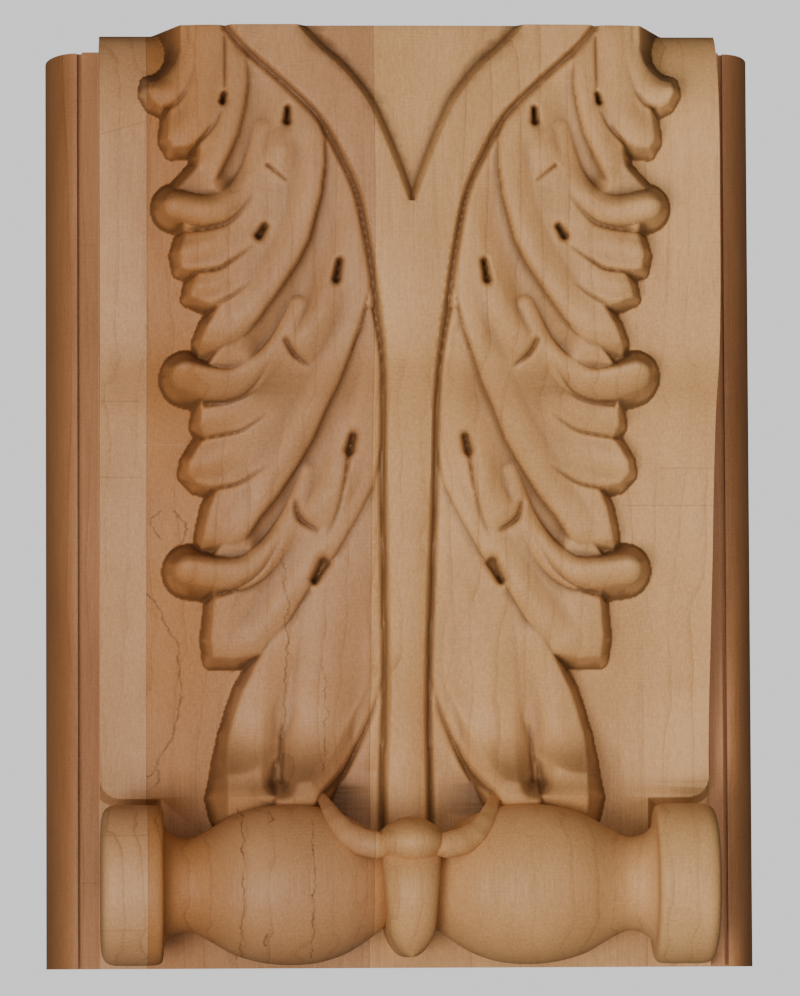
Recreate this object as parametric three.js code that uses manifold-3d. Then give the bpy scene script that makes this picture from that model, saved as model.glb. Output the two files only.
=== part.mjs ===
// Acanthus block corbel: one solid block of glued hardwood, carved on its front.
// Millimetres, +Z up, the front faces -Y, the flat back lies on the wall plane y = 0,
// and the origin is the centre of that back face.
import * as THREE from "three";
import { mergeVertices } from "three/addons/utils/BufferGeometryUtils.js";
import Module from "manifold-3d";

const wasm = await Module();
wasm.setup();

// Block
const height = 228.6;
const blockDepth = 53; // from the wall to the narrow fillet beside the panel
const sideDepth = 26; // from the wall to the start of the rounded side moulding
const panelWidth = 151;

// Side moulding
const filletWidth = 4.2;
const quirkWidth = 1.2;
const quirkDepth = 1.6;
const ovoloWidth = 8;
const ovoloSetBack = 2;
const width = panelWidth + 2 * (filletWidth + quirkWidth + ovoloWidth);

// Panel, measured forward of the fillet
const crownProjection = 48.6;
const topProjection = 30;
const rollBackHeight = 30;
const panelFoot = 42; // height of the panel's lower edge above the underside
const footCornerRadius = 5;

// Bolster roll at the foot, measured forward of the fillet
const rollAxisProjection = 26;
const rollAxisHeight = 20.4;
const rollRadius = 19.6;
const discThickness = 15;
const discRounding = 2.6;
const discInnerRounding = 1.3;
const neckRadius = 11.5;
const neckWidth = 8; // between the disc and the start of the bulb
const neckFlare = 2.6; // how much the neck grows towards the disc and the bulb
const neckShoulder = 0.5; // how far the neck's first curve runs in from the disc
const bulbMiddle = 29;
const bulbLength = 55.6;
const bulbInner = 4.5; // where each bulb starts, from the middle
const plateProjection = 8;
const plateHeight = 20;

// Central stem, arms and sunken V
const stemRise = 1.2;
const stemRound = 0.8;
const recessDepth = 3;
const recessSlope = 1.6;

// Bud, tongue and collar over the roll, the heights measured from the roll's axis
const budRise = 10.2;
const budHalfWidth = 9.2;
const budHalfHeight = 6.2;
const budProjection = 2.9; // forward of the roll
const budThickness = 13;
const tongueHalfWidth = 6.6;
const tongueTopRise = 6.6;
const tongueBottomDrop = 17.8;
const tongueProjection = 2.7; // forward of the roll
const tongueRoundness = 5;
const tongueEndShare = 1.1;
const tongueTaper = 0.8;
const tongueTip = 0.3; // height of the tongue's lowest section above its end
const throatHalfWidth = 15; // the closed back of the hollow above the collar
const throatDrop = 1.9;
const webHalfWidth = 14; // the wood behind the collar, between the bulbs
const webProjection = 13; // forward of the roll's axis
const webBottomRise = 2;
const webTopRise = 11;
const nestFrom = 16; // the wood behind each bulb, which the tips of the petals stand over
const nestTo = 44;
const nestRise = 17.6;
const nestProjection = 19;
const collarRoot = 3; // how far the back of the collar runs into the roll

// Cutting
const wallSlope = 4; // how steeply the carved edges drop to the panel
const eyeDepth = 5;
const eyeShares = [1.1, 0.9, 0.5]; // the pit's size over the leaf, half way down and at its bottom
const recessStart = 0.5; // height of the V's lowest section above its point
const rooted = 1.5; // how far a carved form runs into what carries it
const groundDrop = 2.4; // the leaf between its strokes, below the leaf's own height
const chinRun = 9; // how far the sloped end of a petal runs down past its tip

// Faceting
const stepsPerLeg = 1.3; // sections of a stroke between two places on its path
const tipAngles = [0.7, 1.25]; // where the rounded end of a stroke has its sections
const panelRows = 15;
const rollBackRows = 7;
const groundRows = 10;
const stemRows = 15;
const recessRows = 10;
const rollSides = 20;
const bulbRows = 7;
const tongueRows = 8;
const eyeSides = 8;
const budSides = 14;
const ringSides = 6;

const halfPanel = panelWidth / 2;

// Places on the carving are shares of the panel's half width and of the height, in hundredths.
const place = (across, up) => new THREE.Vector2((across / 100) * halfPanel, (up / 100) * height);

// Height profiles are lists of [hundredths of the height, millimetres], read with a smooth step.
const panelProfile = [
  [18.4, 6.3], [21.6, 6.5], [24.8, 7.3], [29.1, 9.5], [34.5, 13.8], [39.9, 18.3], [44.1, 21.8],
  [50.5, 25.3], [54.7, 28.6], [59.9, 34.3], [64.9, 43.4], [71.1, 47.8], [77, crownProjection],
];
const leafProfile = [
  [16.9, 14.6], [21.4, 15], [24.8, 16.5], [29.1, 19.5], [34.5, 24], [39.9, 28], [44.1, 31],
  [50.5, 34.8], [54.7, 38.2], [59.9, 44], [64.9, 52.4], [71, 56.6], [78, 57.8], [88, 57.2], [100, 53],
];
// Half width of the stem and of the Y of arms that it opens into
const armProfile = [
  [0, 6.2], [19.1, 6.2], [29, 5.5], [39.6, 6], [50.2, 6.8], [62.6, 7.3], [70.7, 10.1], [77.1, 13],
  [82.4, 16.6], [86.8, 22.4], [90.3, 28.7], [93.6, 38.3], [96.5, 47.8], [97.9, 52.6], [100, 58],
];
// Half width of the V sunk between the arms
const recessProfile = [
  [81, 0], [85, 4.3], [88.7, 8.8], [91.6, 12.8], [93.5, 16.6], [95.8, 22.4], [97.7, 28.8], [100, 35.3],
];

// Half width of the leaf's ground, which stays inside the lobes
const groundProfile = [
  [27, 12], [31, 30], [36, 42], [40, 48], [44, 50], [48, 46], [54, 50], [60, 48], [66, 54], [70, 52],
  [75, 56], [80, 60], [88, 56], [95, 62], [100, 60],
];

// Carved strokes of one half: a path, its half widths, how far the back of the stroke stands out
// of the leaf at places along it, how round its section is, and how it leans to one side.
const strokes = [
  { name: "outer top pipe", path: [[56, 100], [55.5, 92], [62, 85], [66.5, 81.6]],
    half: [2.6, 3, 3.6, 2.6], rise: [0.5, 0.3, -0.5, -2], round: 2, lean: 0.5 },
  { name: "top lobe", path: [[65, 100], [64, 94], [69, 90], [73.5, 88.4]],
    half: [3.6, 4.2, 5.4, 5], rise: [-0.2, 0, -0.5, -1.6], round: 2.8, lean: 0.4 },
  { name: "top curl", path: [[69, 100], [70, 96], [75, 94], [80, 92.6]],
    half: [3.8, 3.4, 3.2, 2.9], rise: [-0.8, -0.8, -1, -1.4], round: 6, lean: 0.8 },
  { name: "second pipe", path: [[36.5, 94], [32.5, 86], [34.5, 79], [44, 71.5], [57, 68]],
    half: [3.6, 4.2, 5.4, 6.6, 6.2], rise: [-1, 0.6, 0.8, 0, -1.6], round: 2, lean: 1.1 },
  { name: "second eye lobe", path: [[40.5, 92], [42.5, 86], [46, 82.5]],
    half: [4, 5.2, 4.6], rise: [0.2, 0.8, 0.2], round: 1.8, lean: 0.3 },
  { name: "upper hook", path: [[48.5, 96], [48.5, 89], [54, 82.4], [64, 80], [77, 80.5]],
    half: [2.8, 3.6, 3.8, 4.2, 4.3], rise: [-0.8, -1.2, -0.4, 1.6, 2.2], round: 3.2, lean: -0.4 },
  { name: "upper scallop", path: [[45, 82], [54, 77.6], [66, 75.4], [71.4, 75.4]],
    half: [3, 4.6, 5.4, 4.8], rise: [0.4, 0.6, -0.4, -1.6], round: 2.2, lean: 0.9 },
  { name: "middle scallop", path: [[42, 79], [52, 74], [62, 71.9], [65.5, 71.8]],
    half: [3, 4.2, 4.8, 4.3], rise: [0.4, 0.4, -0.8, -2], round: 2.2, lean: 0.9 },
  { name: "third pipe", path: [[17.5, 84], [15.5, 72], [22, 65], [34, 57], [48, 50.8], [57, 48.9]],
    half: [2.6, 3.8, 5, 6.2, 6.8, 6.4], rise: [-2, -1.2, 0.2, 0.4, -0.4, -2.2], round: 2, lean: 1.1 },
  { name: "third inner face", path: [[20, 81], [21.5, 75], [24, 69]],
    half: [4.6, 5.4, 5.2], rise: [-1.8, -0.6, -0.2], round: 2, lean: 0.8 },
  { name: "third eye lobe", path: [[24.5, 72], [28, 68.6], [32.4, 67]],
    half: [4.4, 5.4, 4.6], rise: [0.4, 1, 0.4], round: 2, lean: 0.3 },
  { name: "middle hook", path: [[28, 79.5], [31.5, 72], [40, 65.4], [54, 62.2], [72.5, 62.6]],
    half: [2.4, 3.2, 3.8, 4.2, 4.4], rise: [-1.4, -1, 0, 1.8, 2.4], round: 3.2, lean: -0.4 },
  { name: "fourth scallop", path: [[36, 64], [50, 59.8], [60.6, 58.6]],
    half: [3.2, 4.8, 4.4], rise: [0.4, 0.2, -1.6], round: 2.2, lean: 0.9 },
  { name: "fifth scallop", path: [[33, 61], [48, 55.6], [63, 53.8]],
    half: [3.2, 5.6, 5.8], rise: [0.4, 0.2, -1.6], round: 2.2, lean: 0.9 },
  { name: "fourth pipe", path: [[10.5, 68], [13, 56], [17, 49], [30, 42.6], [46, 37.6], [53.5, 36.8]],
    half: [2.6, 4, 5, 7, 8, 7], rise: [-1.6, -0.8, 0, 0.4, -0.6, -2], round: 2, lean: 1 },
  { name: "fourth inner face", path: [[14, 64], [20, 57], [25.5, 51]],
    half: [3, 4, 4.2], rise: [-0.6, 0, 0], round: 2, lean: 0.8 },
  { name: "fourth eye lobe", path: [[20.5, 54], [25, 50.6], [28.6, 49.8]],
    half: [4, 5.6, 5.2], rise: [0.4, 1, 0.4], round: 2, lean: 0.3 },
  { name: "lower hook", path: [[29, 57.5], [35, 49.5], [43.5, 43.6], [56, 41.4], [73, 41.8]],
    half: [2.2, 3, 3.8, 4.4, 4.5], rise: [-1.2, -1, 0, 1.8, 2.4], round: 3.2, lean: -0.4 },
  { name: "inner petal", path: [[11.4, 48], [15.7, 42], [22.3, 35.9], [28.2, 29.7], [31.5, 24.8], [32.1, 23]],
    half: [3, 6.5, 9, 9.5, 8.4, 7.3], rise: [-0.8, -0.2, 0.2, 1.2, 5, 8.4], round: 2.2, lean: 0, chin: true },
  { name: "outer petal", path: [[28.8, 42], [40.6, 35], [47.8, 28.9], [50.9, 24.4], [51.5, 23]],
    half: [3, 5.6, 6.4, 6.2, 6], rise: [-1.8, -1, 0.8, 5, 8], round: 2.2, lean: 0, chin: true },
];

// Drilled eyes: where each starts and ends, and its two radii.
const eyes = [
  { from: [60, 92.3], to: [60.3, 91.5], radii: [0.8, 1] },
  { from: [39.2, 91], to: [39.8, 89.6], radii: [1.2, 1.5] },
  { from: [47, 78.4], to: [48.6, 77.3], radii: [1.2, 1.4] },
  { from: [22.8, 74.6], to: [24, 72.8], radii: [1.3, 1.7] },
  { from: [18, 56.6], to: [19.4, 55], radii: [1.5, 1.9] },
  { from: [25.6, 43.6], to: [29.6, 41], radii: [2.6, 1.6] },
];

// The collar from the bud up to the petal, in hundredths of the roll's radius: the distance from the
// middle, the rise over the roll's axis, the distance forward of it, and the half width.
const collar = [
  [20, 46, 88, 22], [44, 46, 86, 20], [64, 52, 78, 18], [82, 64, 69, 15], [94, 80, 55, 12],
  [103, 96, 28, 9], [107, 108, -5, 7],
];

// Reads a height profile at a height above the underside.
function readProfile(profile, z) {
  const up = (z / height) * 100;
  const last = profile.length - 1;
  if (up <= profile[0][0]) return profile[0][1];
  if (up >= profile[last][0]) return profile[last][1];
  const i = profile.findIndex((row) => row[0] > up) - 1;
  const before = profile[Math.max(i - 1, 0)];
  const start = profile[i];
  const end = profile[i + 1];
  const after = profile[Math.min(i + 2, last)];
  const span = end[0] - start[0];
  const share = (up - start[0]) / span;
  const startSlope = ((end[1] - before[1]) / (end[0] - before[0])) * span;
  const endSlope = ((after[1] - start[1]) / (after[0] - start[0])) * span;
  const s2 = share * share;
  const s3 = s2 * share;
  return (
    (2 * s3 - 3 * s2 + 1) * start[1] + (s3 - 2 * s2 + share) * startSlope +
    (3 * s2 - 2 * s3) * end[1] + (s3 - s2) * endSlope
  );
}

// A value given at even steps along a path.
function along(values, share) {
  const at = share * (values.length - 1);
  const i = Math.min(Math.floor(at), values.length - 2);
  return values[i] + (values[i + 1] - values[i]) * (at - i);
}

// The panel forward of the fillet: an S in profile that rolls back at the top.
function panelDepth(z) {
  const up = Math.max(z - (height - rollBackHeight), 0) / rollBackHeight;
  const back = (crownProjection - topProjection) * (1 - Math.sqrt(1 - Math.min(up, 1) ** 2));
  return readProfile(panelProfile, z) - back;
}

const leafDepth = (z) => readProfile(leafProfile, z);

const panelFootDepth = panelDepth(panelFoot);

// A point by its distance from the middle, its depth forward of the fillet and its height.
const at = (x, depth, z) => new THREE.Vector3(x, -(blockDepth + depth), z);

// Joins rings of points, one after the other, into a closed skin with a flat cap at each end.
function closeRings(rings) {
  const points = [];
  const add = (...corners) => corners.forEach((p) => points.push(p.x, p.y, p.z));
  const count = rings[0].length;
  for (let i = 1; i < rings.length; i++) {
    for (let j = 0; j < count; j++) {
      const k = (j + 1) % count;
      add(rings[i - 1][j], rings[i][j], rings[i][k]);
      add(rings[i - 1][j], rings[i][k], rings[i - 1][k]);
    }
  }
  const cap = (ring, turned) => {
    const centre = ring.reduce((sum, p) => sum.add(p), new THREE.Vector3()).divideScalar(count);
    ring.forEach((p, j) => {
      const q = ring[(j + 1) % count];
      if (turned) add(centre, q, p);
      else add(centre, p, q);
    });
  };
  cap(rings[0], false);
  cap(rings.at(-1), true);
  const geometry = new THREE.BufferGeometry();
  geometry.setAttribute("position", new THREE.Float32BufferAttribute(points, 3));
  return geometry;
}

// One section across a carved stroke: a rounded back between two steep edges, rooted in the panel.
function strokeSection(stroke, point, tangent, share, tipAngle) {
  const half = along(stroke.half, share);
  const reach = half * Math.sin(tipAngle);
  const centre = point.clone().addScaledVector(tangent, reach);
  const normal = new THREE.Vector2(-tangent.y, tangent.x);
  const width = Math.cos(tipAngle);
  const ring = [-1, -0.7, 0, 0.7, 1].map((across) => {
    const spot = centre.clone().addScaledVector(normal, across * width * half);
    const out = Math.min(Math.hypot(across * width, Math.sin(tipAngle)), 1);
    const rounded = stroke.round * (1 - Math.sqrt(1 - out * out));
    const rise = along(stroke.rise, share) + stroke.lean * across - rounded;
    return at(spot.x, leafDepth(spot.y) + rise, spot.y);
  });
  const foot = (across, edge) => {
    const level = panelDepth(edge.z) - rooted;
    const spread = Math.max(-edge.y - blockDepth - level, 0) / wallSlope;
    const spot = centre.clone().addScaledVector(normal, across * (width * half + spread));
    return at(spot.x, level, spot.y);
  };
  return [foot(-1, ring[0]), ...ring, foot(1, ring.at(-1))];
}

// The last section of a sloped end: the one before it, run on past the tip and down to the panel.
function chinSection(ring, heading) {
  return ring.map((p) => at(p.x + chinRun * heading.x, panelFootDepth, p.z + chinRun * heading.y));
}

function strokeGeometry(stroke) {
  const curve = new THREE.SplineCurve(stroke.path.map(([across, up]) => place(across, up)));
  const steps = Math.ceil(stepsPerLeg * (stroke.path.length - 1));
  const shares = Array.from({ length: steps + 1 }, (_, i) => i / steps);
  const rings = shares.map((share) => {
    return strokeSection(stroke, curve.getPoint(share), curve.getTangent(share), share, 0);
  });
  const tip = curve.getPoint(1);
  const heading = curve.getTangent(1);
  const angles = stroke.chin ? tipAngles.slice(0, 1) : tipAngles;
  for (const angle of angles) rings.push(strokeSection(stroke, tip, heading, 1, angle));
  if (stroke.chin) rings.push(chinSection(rings.at(-1), heading));
  return closeRings(rings);
}

// A band down the middle, as wide as a profile says, over a range of heights.
function bandGeometry(profile, heights, top, foot) {
  const rings = heights.map((z) => {
    const half = (readProfile(profile, z) / 100) * halfPanel;
    const back = foot(z);
    const spread = (top(0, z) - back) / wallSlope;
    const front = [-1, -0.5, 0, 0.5, 1].map((across) => at(across * half, top(across, z), z));
    return [at(-half - spread, back, z), ...front, at(half + spread, back, z)];
  });
  return closeRings(rings.reverse());
}

function heightsBetween(low, high, count) {
  return Array.from({ length: count + 1 }, (_, i) => low + ((high - low) * i) / count);
}

// The leaf between its strokes, a little lower than they are.
function leafGroundGeometry() {
  const heights = heightsBetween((height * groundProfile[0][0]) / 100, height, groundRows);
  const back = (z) => Math.min(panelDepth(z), leafDepth(z) - groundDrop) - rooted;
  return bandGeometry(groundProfile, heights, (across, z) => leafDepth(z) - groundDrop, back);
}

// The stem, which opens into the Y of arms at the top.
function stemGeometry() {
  const heights = heightsBetween(plateHeight, height, stemRows);
  const top = (across, z) => leafDepth(z) + stemRise - stemRound * across * across;
  return bandGeometry(armProfile, heights, top, (z) => panelDepth(z) - rooted);
}

// What is cut away for the sunken V between the arms.
function recessGeometry() {
  const heights = heightsBetween(height * (recessProfile[0][0] / 100) + recessStart, height + 1, recessRows);
  const rings = heights.map((z) => {
    const half = (readProfile(recessProfile, z) / 100) * halfPanel;
    const floor = leafDepth(z) + stemRise - recessDepth;
    const front = floor + 2 * recessDepth;
    const inner = Math.max(half - recessDepth / recessSlope, 0.05);
    const outer = half + recessDepth / recessSlope;
    return [at(-inner, floor, z), at(-outer, front, z), at(outer, front, z), at(inner, floor, z)];
  });
  return closeRings(rings);
}

// A drilled eye: a round pit drawn out along its length.
function eyeGeometry(eye) {
  const [start, end] = [place(...eye.from), place(...eye.to)];
  const heading = end.clone().sub(start).angle();
  const rim = (grow, depth) => Array.from({ length: eyeSides }, (_, i) => {
    const angle = heading + Math.PI / 2 + ((i + 0.5) * Math.PI * 2) / eyeSides;
    const [centre, half] = i < eyeSides / 2 ? [start, eye.radii[0]] : [end, eye.radii[1]];
    const radius = half * grow;
    const up = centre.y + radius * Math.sin(angle);
    return at(centre.x + radius * Math.cos(angle), leafDepth(centre.y) + depth, up);
  });
  const [over, middle, bottom] = eyeShares;
  return closeRings([rim(over, eyeDepth), rim(middle, -eyeDepth / 2), rim(bottom, -eyeDepth)]);
}

// The panel: its S profile run across, with the two lower corners rounded off.
function panelSolid() {
  const profile = new THREE.Shape();
  profile.moveTo(-blockDepth / 2, height);
  profile.lineTo(-blockDepth / 2, panelFoot);
  const bend = height - rollBackHeight;
  for (const z of heightsBetween(panelFoot, bend, panelRows)) profile.lineTo(panelDepth(z), z);
  for (let i = 1; i <= rollBackRows; i++) {
    const z = bend + rollBackHeight * Math.sin((i / rollBackRows) * (Math.PI / 2));
    profile.lineTo(panelDepth(z), z);
  }
  profile.closePath();
  const run = new THREE.ExtrudeGeometry(profile, { depth: panelWidth, bevelEnabled: false });
  // The profile's first axis goes to the front, its second stays up, and the run goes across
  run.applyMatrix4(new THREE.Matrix4().set(0, 0, 1, -halfPanel, -1, 0, 0, -blockDepth, 0, 1, 0, 0, 0, 0, 0, 1));
  const outline = new THREE.Shape();
  outline.moveTo(halfPanel, height);
  outline.lineTo(-halfPanel, height);
  outline.absarc(-halfPanel + footCornerRadius, panelFoot + footCornerRadius, footCornerRadius,
    Math.PI, Math.PI * 1.5);
  outline.absarc(halfPanel - footCornerRadius, panelFoot + footCornerRadius, footCornerRadius,
    Math.PI * 1.5, Math.PI * 2);
  outline.closePath();
  const cutter = new THREE.ExtrudeGeometry(outline, { depth: 2 * width, bevelEnabled: false, curveSegments: 6 });
  cutter.rotateX(Math.PI / 2);
  return toSolid(run).intersect(toSolid(cutter));
}

// The bolster roll: an end disc, a neck and a bulb to each side, turned on one axis.
function rollGeometry() {
  const discStart = halfPanel - discThickness;
  const bulbEnd = discStart - neckWidth;
  const neckMiddle = (discStart + bulbEnd) / 2;
  const roundOff = discRounding * (1 - Math.SQRT1_2);
  const half = [[halfPanel, 0], [halfPanel, rollRadius - discRounding]];
  half.push([halfPanel - roundOff, rollRadius - roundOff], [halfPanel - discRounding, rollRadius]);
  half.push([discStart + discInnerRounding, rollRadius], [discStart, rollRadius - discInnerRounding]);
  half.push([discStart - neckShoulder, neckRadius + neckFlare]);
  half.push([neckMiddle + neckWidth / 4, neckRadius + neckFlare / 4], [neckMiddle - neckShoulder, neckRadius]);
  for (let i = 0; i <= bulbRows; i++) {
    const x = bulbEnd - ((bulbEnd - bulbInner) * i) / bulbRows;
    const share = (x - bulbMiddle) / (bulbLength / 2);
    half.push([x, Math.max(rollRadius * Math.sqrt(Math.max(1 - share * share, 0)), neckRadius / 2)]);
  }
  const other = half.map(([x, radius]) => [-x, radius]);
  const profile = [...other, ...half.toReversed()].map(([x, radius]) => new THREE.Vector2(radius, x));
  const geometry = new THREE.LatheGeometry(profile, rollSides);
  geometry.rotateZ(-Math.PI / 2);
  return geometry.translate(0, -(blockDepth + rollAxisProjection), rollAxisHeight);
}

function boxGeometry(halfWidth, depthFrom, depthTo, low, high) {
  const geometry = new THREE.BoxGeometry(2 * halfWidth, depthTo - depthFrom, high - low);
  return geometry.translate(0, -(blockDepth + (depthFrom + depthTo) / 2), (low + high) / 2);
}

function budGeometry() {
  const geometry = new THREE.SphereGeometry(1, budSides, budSides / 2);
  geometry.scale(budHalfWidth, budThickness, budHalfHeight);
  const front = blockDepth + rollAxisProjection + rollRadius + budProjection;
  return geometry.translate(0, -(front - budThickness), rollAxisHeight + budRise);
}

// The tongue hangs over the roll and follows it round.
function tongueGeometry() {
  const length = tongueTopRise + tongueBottomDrop;
  const back = rollAxisProjection - rollRadius + rooted;
  const reach = rollRadius + tongueProjection;
  const rings = heightsBetween(tongueTip, length, tongueRows).map((rise) => {
    const overAxis = rise - tongueBottomDrop;
    const taper = tongueTaper + ((1 - tongueTaper) * rise) / length;
    const toEnd = Math.max(1 - rise / (tongueHalfWidth * tongueEndShare), 0);
    const half = tongueHalfWidth * taper * Math.sqrt(1 - toEnd * toEnd);
    const front = rollAxisProjection + Math.sqrt(reach * reach - overAxis * overAxis);
    const arc = [-1, -0.8, -0.4, 0, 0.4, 0.8, 1].map((across) => {
      const rounded = tongueRoundness * (1 - Math.sqrt(1 - across * across));
      return at(across * half, front - rounded, rollAxisHeight + overAxis);
    });
    return [at(-half, back, rollAxisHeight + overAxis), ...arc, at(half, back, rollAxisHeight + overAxis)];
  });
  return closeRings(rings.reverse());
}

// One arm of the collar: a round band from the bud, over the roll, up to the petal. Its back runs on
// into the roll.
function collarGeometry() {
  const rows = collar.map((row) => row.map((share) => (share / 100) * rollRadius));
  const spots = rows.map(([x, rise, forward]) => new THREE.Vector3(x, -forward, rise));
  const rings = spots.map((spot, i) => {
    const half = rows[i][3];
    const before = spots[Math.max(i - 1, 0)];
    const heading = spots[Math.min(i + 1, spots.length - 1)].clone().sub(before);
    const outward = new THREE.Vector3(0, spot.y, spot.z).normalize();
    const sideways = heading.cross(outward).normalize();
    return Array.from({ length: ringSides }, (_, j) => {
      const angle = (j * Math.PI * 2) / ringSides;
      const root = j > ringSides / 2 ? collarRoot : 0;
      const p = spot.clone().addScaledVector(sideways, half * Math.cos(angle));
      p.addScaledVector(outward, half * Math.sin(angle) - root);
      return at(p.x, rollAxisProjection - p.y, rollAxisHeight + p.z);
    });
  });
  return closeRings(rings);
}

// The wood between the panel and the roll: behind the roll, under the leaf's foot above the collar,
// behind the collar and behind each bulb.
function throatGeometries() {
  const behind = halfPanel - discThickness;
  const foot = leafDepth(panelFoot) - throatDrop;
  const nest = boxGeometry((nestTo - nestFrom) / 2, -rooted, nestProjection, plateHeight / 2,
    rollAxisHeight + nestRise);
  const nestMiddle = (nestFrom + nestTo) / 2;
  return [
    nest.clone().translate(nestMiddle, 0, 0),
    nest.clone().translate(-nestMiddle, 0, 0),
    boxGeometry(behind, -rooted, panelFootDepth, plateHeight / 2, panelFoot + footCornerRadius),
    boxGeometry(throatHalfWidth, -rooted, foot, plateHeight / 2, panelFoot + footCornerRadius),
    boxGeometry(webHalfWidth, -rooted, rollAxisProjection + webProjection,
      rollAxisHeight + webBottomRise, rollAxisHeight + webTopRise),
  ];
}

// The block behind the console: fillet, quirk and ovolo down both sides, flat at the wall.
function blockGeometry() {
  const half = width / 2;
  const quirkStart = halfPanel + filletWidth;
  const ovoloStart = quirkStart + quirkWidth;
  const ovoloTop = blockDepth - ovoloSetBack;
  const quirkFloor = ovoloTop - quirkDepth;
  const outline = new THREE.Shape();
  outline.moveTo(-half, 0);
  outline.lineTo(half, 0);
  outline.absellipse(ovoloStart, sideDepth, half - ovoloStart, ovoloTop - sideDepth, 0, Math.PI / 2);
  outline.lineTo(ovoloStart, quirkFloor);
  outline.lineTo(quirkStart, quirkFloor);
  outline.lineTo(quirkStart, blockDepth);
  outline.lineTo(-quirkStart, blockDepth);
  outline.lineTo(-quirkStart, quirkFloor);
  outline.lineTo(-ovoloStart, quirkFloor);
  outline.absellipse(-ovoloStart, sideDepth, half - ovoloStart, ovoloTop - sideDepth, Math.PI / 2, Math.PI);
  outline.closePath();
  const geometry = new THREE.ExtrudeGeometry(outline, { depth: height, bevelEnabled: false, curveSegments: 10 });
  return geometry.applyMatrix4(new THREE.Matrix4().makeScale(1, -1, 1));
}

// A closed geometry as a solid that can be joined. One whose faces point in is turned out.
function toSolid(geometry) {
  const bare = geometry.index ? geometry.toNonIndexed() : geometry.clone();
  bare.deleteAttribute("normal");
  bare.deleteAttribute("uv");
  const merged = mergeVertices(bare, 1e-4);
  const triVerts = new Uint32Array(merged.index.array);
  const vertProperties = merged.attributes.position.array;
  const solid = new wasm.Manifold(new wasm.Mesh({ numProp: 3, vertProperties, triVerts }));
  if (solid.volume() > 0) return solid;
  const turned = triVerts.slice().reverse();
  return new wasm.Manifold(new wasm.Mesh({ numProp: 3, vertProperties, triVerts: turned }));
}

// The same solid on the other half of the corbel.
function mirrored(geometry) {
  return toSolid(geometry.clone().applyMatrix4(new THREE.Matrix4().makeScale(-1, 1, 1)));
}

function toGeometry(solid) {
  const mesh = solid.getMesh();
  const geometry = new THREE.BufferGeometry();
  geometry.setAttribute("position", new THREE.BufferAttribute(mesh.vertProperties, 3));
  geometry.setIndex(new THREE.BufferAttribute(mesh.triVerts, 1));
  geometry.computeVertexNormals();
  return geometry;
}

const wood = new THREE.MeshStandardMaterial({ color: 0xb98a63, roughness: 0.62, metalness: 0 });

// Joins the carved forms to the panel and the block, then cuts the recess, the eyes and the ends.
function corbelSolid() {
  let body = toSolid(blockGeometry()).add(panelSolid());
  body = body.add(toSolid(leafGroundGeometry()));
  for (const stroke of strokes) {
    const geometry = strokeGeometry(stroke);
    body = body.add(toSolid(geometry)).add(mirrored(geometry));
  }
  body = body.add(toSolid(stemGeometry())).subtract(toSolid(recessGeometry()));
  for (const eye of eyes) {
    const geometry = eyeGeometry(eye);
    body = body.subtract(toSolid(geometry)).subtract(mirrored(geometry));
  }
  const core = boxGeometry(halfPanel - discThickness / 2, -rooted, rollAxisProjection,
    rollAxisHeight - neckRadius / 2, rollAxisHeight + neckRadius / 2);
  const plate = boxGeometry(halfPanel, -rooted, plateProjection, 0, plateHeight);
  for (const geometry of [core, plate, ...throatGeometries(), rollGeometry(), budGeometry(), tongueGeometry()]) {
    body = body.add(toSolid(geometry));
  }
  const arm = collarGeometry();
  body = body.add(toSolid(arm)).add(mirrored(arm));
  const whole = new THREE.BoxGeometry(width, 4 * blockDepth, height).translate(0, -2 * blockDepth, height / 2);
  return body.intersect(toSolid(whole));
}

function makeCorbel() {
  const mesh = new THREE.Mesh(toGeometry(corbelSolid()), wood);
  mesh.name = "acanthus_corbel";
  mesh.position.z = -height / 2;
  return mesh;
}

const corbel = new THREE.Group();
corbel.add(makeCorbel());

export default corbel;
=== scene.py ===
import math

import bpy
import numpy as np
from mathutils import Matrix, Vector


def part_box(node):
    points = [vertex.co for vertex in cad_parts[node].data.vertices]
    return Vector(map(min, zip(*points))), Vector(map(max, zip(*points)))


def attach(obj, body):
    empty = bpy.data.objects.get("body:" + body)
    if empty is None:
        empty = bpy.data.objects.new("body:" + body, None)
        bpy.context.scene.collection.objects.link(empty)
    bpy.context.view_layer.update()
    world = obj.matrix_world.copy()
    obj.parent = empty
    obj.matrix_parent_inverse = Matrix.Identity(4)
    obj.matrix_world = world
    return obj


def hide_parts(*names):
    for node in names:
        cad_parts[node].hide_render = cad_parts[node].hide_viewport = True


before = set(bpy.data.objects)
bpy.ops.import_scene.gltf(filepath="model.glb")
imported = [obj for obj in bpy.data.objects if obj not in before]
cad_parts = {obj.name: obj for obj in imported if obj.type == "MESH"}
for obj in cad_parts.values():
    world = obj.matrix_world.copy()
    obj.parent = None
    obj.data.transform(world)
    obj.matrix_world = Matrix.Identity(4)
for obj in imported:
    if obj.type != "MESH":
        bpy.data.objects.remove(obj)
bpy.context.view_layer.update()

MM = 0.001
NODE = "acanthus_corbel"

# The block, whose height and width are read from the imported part
node_low, node_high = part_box(NODE)
HEIGHT = node_high[2] - node_low[2]
WIDTH = node_high[0] - node_low[0]
BLOCK_DEPTH = 53 * MM
SIDE_DEPTH = 26 * MM
PANEL_WIDTH = 151 * MM
HALF_PANEL = PANEL_WIDTH / 2

# Side moulding
FILLET_WIDTH = 4.2 * MM
QUIRK_WIDTH = 1.2 * MM
QUIRK_DEPTH = 1.6 * MM
OVOLO_SET_BACK = 2 * MM

# Panel, measured forward of the fillet
CROWN_PROJECTION = 48.6 * MM
TOP_PROJECTION = 30 * MM
ROLL_BACK_HEIGHT = 30 * MM
PANEL_FOOT = 42 * MM
FOOT_CORNER = 5 * MM

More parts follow.
